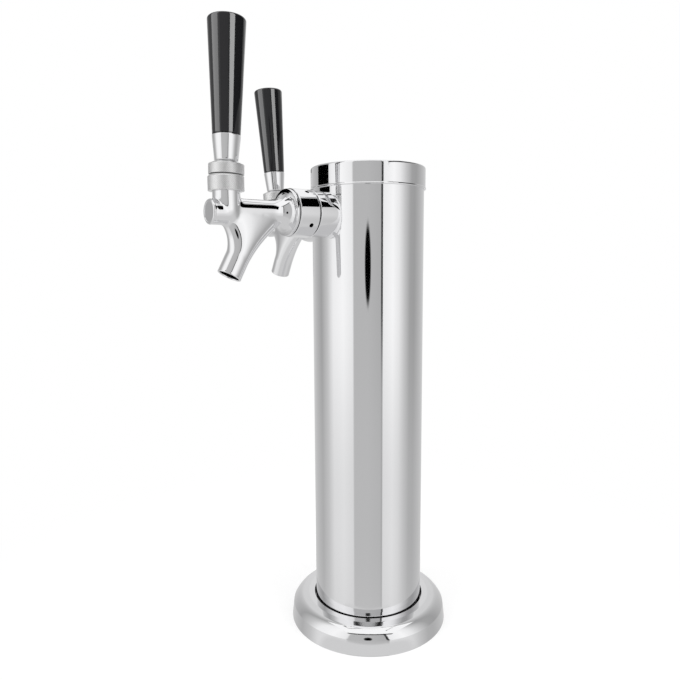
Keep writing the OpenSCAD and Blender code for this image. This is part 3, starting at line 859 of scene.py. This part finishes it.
drawn(
    Vector((0, 0, -nose_drop)),
    out,
    [(nose_r - nose_edge + across_edge, station) for across_edge, station in nose_round]
    + [
        (0.0061, nose_x),
        (0.006, nose_x - 0.00003),
        (0.00585, nose_x - 0.0003),
        (0.0057, nose_x - 0.00035),
        (0.0054, nose_x - 0.00035),
    ],
)
lip = 0.0003
trimmed(mouth + up_spout * 0.001, -up_spout)
drawn(
    mouth,
    up_spout,
    [
        (spout_r, 2 * lip),
        (spout_r, lip),
        (spout_r - 0.3 * lip, 0.3 * lip),
        (spout_r - lip, 0),
        (bore_r + lip, 0),
        (bore_r + 0.3 * lip, 0.3 * lip),
        (bore_r, lip),
        (bore_r, 0.001),
        (bore_r, bore_l),
        (0.004, bore_l + 0.002),
        (0.0039, bore_l + 0.008),
    ],
)
bpy.ops.mesh.select_all(action="SELECT")
bpy.ops.mesh.remove_doubles(threshold=1e-7)
bpy.ops.mesh.normals_make_consistent(inside=False)
bpy.ops.object.mode_set(mode="OBJECT")
placed(casting, casting.matrix_world.copy())
# The left faucet stands two degrees off upright, as its nut was tightened
faucets = {
    "right": taps["right"],
    "left": taps["left"] @ Matrix.Rotation(math.radians(-2), 4, "X"),
}
for side, faucet in faucets.items():
    made = copied(casting, f"{side}_faucet", faucet)
    finished(made, chrome, "tower", "chrome", f"{side}_faucet_body", crease=40)
bpy.data.objects.remove(casting)

# ---- Bonnets and lever collars ----------------------------------------------
# The bonnet screws down on the neck over the lever's ball, and its domed top lets the lever tilt.
# The collar above it is hollowed to clear that dome. Both have a fine knurl under satin chrome,
# with painted shade in its grooves.
pivot_h, hollow_r = 0.0095, 0.014004
dome_r, thread_r = hollow_r - 0.0003, neck_r + 0.00005
bonnet_r, collar_r, collar_foot, collar_top, stud_r = 0.0105, 0.0103, 0.0101, 0.0171, 0.00475


def arc(radius, r0, r1, steps):
    """Points of a circle about the pivot, from one distance off the axis to another."""
    a0, a1 = math.acos(r0 / radius), math.acos(r1 / radius)
    turns = [a0 + (a1 - a0) * k / steps for k in range(steps + 1)]
    return [(radius * math.cos(a), radius * math.sin(a)) for a in turns]


bonnet = turned(
    "bonnet",
    [(thread_r, 0.0007), (bonnet_r, 0.0007, 0.0004), (bonnet_r, 0.0088, 0.0003)]
    + arc(dome_r, 0.0101, 0.0086, 6)
    + [(0.00455, 0.00235), (0.006, 0.00235), (0.006, 0.00505), (thread_r, 0.00505)],
    sides=160,
    closed=True,
)
collar = turned(
    "collar",
    [
        (collar_r, collar_foot, 0.0002),
        (collar_r, collar_top - 0.0013, 0.0004),
        (0.0074, collar_top, 0.0003),
        (stud_r, collar_top),
    ]
    + arc(hollow_r, stud_r, 0.0097, 8),
    sides=160,
    closed=True,
)


def knurled(name, place):
    """Satin chrome with a fine diamond knurl, about 1 mm from ridge to ridge. Its grooves have
    painted shade, and wear gives a random tone.
    """
    ridges = 66
    satin = plain_finish(name, (0.86, 0.86, 0.86), 1.0, 0.3)
    x, y, z = satin.add("SeparateXYZ", {}, {0: local(satin, place)}, 0, 1, 2)
    turn = satin.math("ARCTAN2", y, x) * ridges
    climb = z * (ridges / collar_r)
    right = satin.math("SINE", turn + climb)
    left = satin.math("SINE", turn - climb)
    knurl_and_groove_shade = satin.math("MAXIMUM", right, left)
    wear = grain(satin, local(satin), 900, 4)
    # Base colour: painted light and shade make the knurl's grooves darker and its ridges lighter,
    # and wear adds a random tone
    feed(satin, "Base Color", satin.ease(knurl_and_groove_shade + wear, 0.2, 1.6, 0.66, 1.0))
    feed(satin, "Roughness", 0.28 + 0.1 * wear)
    dented(satin, knurl_and_groove_shade + 0.3 * wear, 0.00003)
    return satin.material


# The right lever stands closed and the left one a little forward. Turns are in degrees.
leans = {"right": -2, "left": 3}
levers = {}
for side, faucet in faucets.items():
    pivot = faucet @ Matrix.Translation((lever_x, 0, pivot_h))
    levers[side] = pivot @ Matrix.Rotation(math.radians(leans[side]), 4, "Y")
    knurl_and_groove_shade = knurled(f"{side}_bonnet_knurl", pivot)
    made = copied(bonnet, f"{side}_bonnet_nut", pivot)
    finished(made, knurl_and_groove_shade, "tower", "knurled_chrome", f"{side}_bonnet")
    knurl_and_groove_shade = knurled(f"{side}_collar_knurl", levers[side])
    made = copied(collar, f"{side}_knurled_collar", levers[side])
    finished(made, knurl_and_groove_shade, f"{side}_handle", "knurled_chrome", f"{side}_lever_collar")
for model in (bonnet, collar):
    bpy.data.objects.remove(model)

# ---- Handles ----------------------------------------------------------------
# A chromed ferrule and a moulded black grip screw on the lever's stud. The grip widens to a low
# domed top, and its gloss is broken by the faintest moulding ripple.
ferrule_foot, ferrule_top = 0.0174, 0.0322
ferrule = turned(
    "ferrule",
    [
        (stud_r, ferrule_foot),
        (0.00675, ferrule_foot, 0.0012),
        (0.0083, ferrule_top, 0.0005),
        (stud_r, ferrule_top),
    ],
    sides=128,
    closed=True,
)
grip_z, grip_l, groove = ferrule_top + 0.00005, 0.0649, 0.0005
grip = turned(
    "grip",
    [
        (stud_r, grip_z),
        (0.0074, grip_z),
        (0.0074, grip_z + groove),
        (0.0081, grip_z + groove, 0.0002),
        (0.01105, grip_z + 0.0637, 0.0012),
        (0.006, grip_z + 0.0646, 0.004),
        (0, grip_z + grip_l - 0.0001),
    ],
    sides=160,
)
black = plain_finish("gloss_black_grip", (0.004, 0.004, 0.0045), 0.0, 0.1)
ripple = grain(black, local(black), 160, 2)
specks = grain(black, local(black), 2500, 3)
feed(black, "Roughness", 0.07 + 0.05 * black.ease(specks, 0.4, 0.8))
dented(black, ripple + 0.01 * specks, 0.00002)

# Two tall softboxes make the long pale stripes on each black grip, and light nothing else. Each
# has a turn about the grip's middle in degrees, a distance from it, a width and a power.
strips = (("left_strip", -58, 0.11, 0.088, 0.36), ("right_strip", 50, 0.15, 0.076, 0.7))
strip_l = 0.4
for side, lever in levers.items():
    made = copied(ferrule, f"{side}_chrome_ferrule", lever)
    finished(made, chrome, f"{side}_handle", "chrome", f"{side}_ferrule")
    made = copied(grip, f"{side}_black_grip", lever)
    finished(made, black.material, f"{side}_handle", "black_grip", f"{side}_grip")
    lit = bpy.data.collections.new(f"{side}_grip_lights")
    lit.objects.link(made)
    grip_middle = lever @ Vector((0, 0, grip_z + grip_l / 2))
    for name, turn, distance, width, watts in strips:
        softbox = bpy.data.lights.new(f"{side}_{name}", "AREA")
        softbox.shape = "RECTANGLE"
        softbox.size, softbox.size_y = width, strip_l
        softbox.energy = watts
        strip = bpy.data.objects.new(softbox.name, softbox)
        strip.matrix_world = (
            Matrix.Translation(grip_middle)
            @ Matrix.Rotation(math.radians(turn), 4, "Z")
            @ Matrix.Translation((distance, 0, 0))
            @ Matrix.Rotation(math.radians(90), 4, "Z")
            @ Matrix.Rotation(math.radians(90), 4, "X")
        )
        strip.light_linking.receiver_collection = lit
        bpy.context.scene.collection.objects.link(strip)
for model in (ferrule, grip):
    bpy.data.objects.remove(model)
